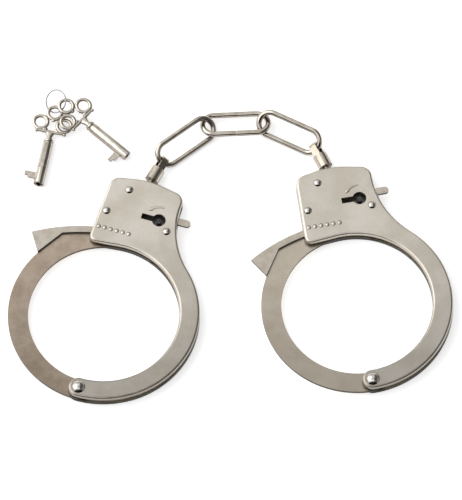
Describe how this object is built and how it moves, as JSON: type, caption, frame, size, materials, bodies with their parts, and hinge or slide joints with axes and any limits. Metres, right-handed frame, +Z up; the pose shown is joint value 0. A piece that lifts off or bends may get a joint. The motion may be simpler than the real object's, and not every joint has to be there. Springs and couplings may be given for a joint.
{
  "type": "handcuffs",
  "caption": "Two chained ratchet wrist cuffs with swinging jaws, sprung release levers, swivels and link chain, with two barrel keys on a wire ring.",
  "frame": {"origin": "on the table the set lies on, under the middle of its bounding box", "axes": "+X from the left cuff to the right cuff, +Y from the cuffs towards the chain, +Z up from the table through the front cheeks"},
  "size_m": [0.1742, 0.1354, 0.0079],
  "materials": {
    "plated_sheet": "bright nickel plate, slightly wavy",
    "plated_plate": "bright nickel plate",
    "plated_rivet": "bright nickel plate",
    "plated_wire": "bright nickel plate on drawn wire",
    "plated_casting": "nickel plate on a rough casting",
    "plain_steel": "turned steel",
    "spring_wire": "drawn spring wire"
  },
  "bodies": {
    "left_case": {"left_front_cheek": "plated_sheet", "left_back_cheek": "plated_sheet", "left_jaw_rivet": "plated_rivet", "left_jaw_washers": "plain_steel", "left_case_rivets": "plated_rivet", "left_case_bushes": "plain_steel", "left_pawl_rivet": "plated_rivet", "left_pawl_bush": "plain_steel", "left_pawl_spring": "spring_wire", "left_key_post": "plain_steel"},
    "left_jaw": {"left_jaw_plate": "plated_plate", "left_ratchet_sector": "plated_plate"},
    "left_pawl": {"left_pawl_lever": "plated_plate"},
    "left_pin": {"left_swivel_pin": "plain_steel"},
    "left_barrel": {"left_swivel_barrel": "plated_sheet"},
    "link_left": {"link_left": "plated_wire"},
    "link_middle": {"link_middle": "plated_wire"},
    "link_right": {"link_right": "plated_wire"},
    "right_case": {"right_front_cheek": "plated_sheet", "right_back_cheek": "plated_sheet", "right_jaw_rivet": "plated_rivet", "right_jaw_washers": "plain_steel", "right_case_rivets": "plated_rivet", "right_case_bushes": "plain_steel", "right_pawl_rivet": "plated_rivet", "right_pawl_bush": "plain_steel", "right_pawl_spring": "spring_wire", "right_key_post": "plain_steel"},
    "right_jaw": {"right_jaw_plate": "plated_plate", "right_ratchet_sector": "plated_plate"},
    "right_pawl": {"right_pawl_lever": "plated_plate"},
    "right_pin": {"right_swivel_pin": "plain_steel"},
    "right_barrel": {"right_swivel_barrel": "plated_sheet"},
    "key_ring": {"key_ring": "spring_wire"},
    "key_one": {"key_one": "plated_casting"},
    "key_two": {"key_two": "plated_casting"}
  },
  "joints": [
    {"name": "left_jaw_hinge", "type": "hinge", "parent": "left_case", "child": "left_jaw", "pos_m": [-0.05934, -0.06242, 0.0024], "axis": [0, 0, 1], "continuous": true},
    {"name": "left_pawl_hinge", "type": "hinge", "parent": "left_case", "child": "left_pawl", "pos_m": [-0.02507, 0.00474, 0.00365], "axis": [0, 0, -1], "range_deg": [-2, 6], "stiffness_Nm_per_rad": 0.05, "deforming": ["left_pawl_spring"]},
    {"name": "right_jaw_hinge", "type": "hinge", "parent": "right_case", "child": "right_jaw", "pos_m": [0.05546, -0.05902, 0.0024], "axis": [0, 0, -1], "continuous": true},
    {"name": "right_pawl_hinge", "type": "hinge", "parent": "right_case", "child": "right_pawl", "pos_m": [0.05551, 0.01638, 0.00365], "axis": [0, 0, -1], "range_deg": [-2, 6], "stiffness_Nm_per_rad": 0.05, "deforming": ["right_pawl_spring"]},
    {"name": "left_swivel_rock", "type": "hinge", "parent": "left_case", "child": "left_pin", "pos_m": [-0.0331, 0.02451, 0.003], "axis": [0, 0, 1], "range_deg": [-4, 20]},
    {"name": "left_swivel_spin", "type": "hinge", "parent": "left_pin", "child": "left_barrel", "pos_m": [-0.0331, 0.02451, 0.003], "axis": [0.4664, 0.8846, 0], "range_deg": [-60, 60]},
    {"name": "link_left_swing", "type": "hinge", "parent": "left_barrel", "child": "link_left", "pos_m": [-0.02426, 0.04009, 0.00377], "axis": [0.3305, -0.4311, 0.8396], "range_deg": [-4, 20]},
    {"name": "link_middle_swing", "type": "hinge", "parent": "link_left", "child": "link_middle", "pos_m": [-0.00637, 0.0527, 0.00332], "axis": [-0.0088, 0.1786, 0.9839], "range_deg": [-4, 20]},
    {"name": "link_right_swing", "type": "hinge", "parent": "link_middle", "child": "link_right", "pos_m": [0.01031, 0.05352, 0.00332], "axis": [-0.0088, 0.1786, 0.9839], "range_deg": [-4, 20]},
    {"name": "right_barrel_swing", "type": "hinge", "parent": "link_right", "child": "right_barrel", "pos_m": [0.03058, 0.04534, 0.00405], "axis": [-0.2625, -0.5275, 0.808], "range_deg": [-4, 20]},
    {"name": "right_swivel_spin", "type": "hinge", "parent": "right_barrel", "child": "right_pin", "pos_m": [0.03938, 0.03035, 0.003], "axis": [-0.4305, 0.9026, 0], "continuous": true},
    {"name": "right_swivel_rock", "type": "hinge", "parent": "right_pin", "child": "right_case", "pos_m": [0.03938, 0.03035, 0.003], "axis": [0, 0, 1], "range_deg": [0, 25]},
    {"name": "keys_lift_off", "type": "slide", "parent": "left_case", "child": "key_ring", "axis": [0, 0, 1], "range_m": [0, 0.04]},
    {"name": "key_one_swing", "type": "hinge", "parent": "key_ring", "child": "key_one", "pos_m": [-0.06845, 0.05878, 0.00205], "axis": [0, 0, 1], "range_deg": [-15, 20]},
    {"name": "key_two_swing", "type": "hinge", "parent": "key_ring", "child": "key_two", "pos_m": [-0.06537, 0.06044, 0.00454], "axis": [0.0583, -0.0499, 0.9971], "range_deg": [-10, 20]}
  ]
}
